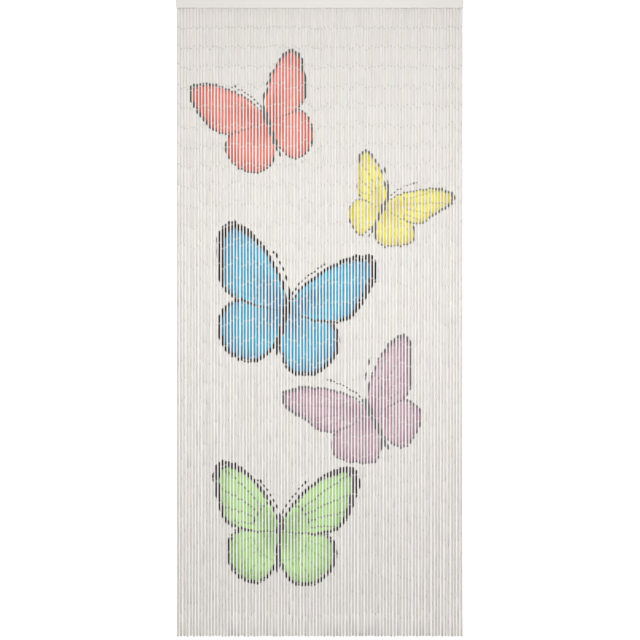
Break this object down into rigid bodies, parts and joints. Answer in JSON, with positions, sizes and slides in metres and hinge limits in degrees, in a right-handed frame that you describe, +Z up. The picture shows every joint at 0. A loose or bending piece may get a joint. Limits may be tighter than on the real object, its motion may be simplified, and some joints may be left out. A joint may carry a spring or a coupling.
{
  "type": "bamboo fly screen curtain with wooden rail",
  "caption": "Doorway fly screen: rows of thin painted bamboo strands that hang side by side from a plain wooden rail.",
  "frame": {"origin": "middle of the rail's flat back face, which lies against the wall or the door frame", "axes": "+Z up, so the strands hang towards -Z; +Y out of the rail's back towards the wall; +X along the rail, to the right as seen from the front"},
  "size_m": [0.903, 0.014, 2.002],
  "materials": {
    "painted_rail": "smooth cream paint, satin",
    "painted_bamboo": "cream paint with a printed picture on the front, satin",
    "wire": "thin drawn wire"
  },
  "bodies": {
    "root": {"rail": "painted_rail", "strands": "painted_bamboo"}
  },
  "joints": []
}
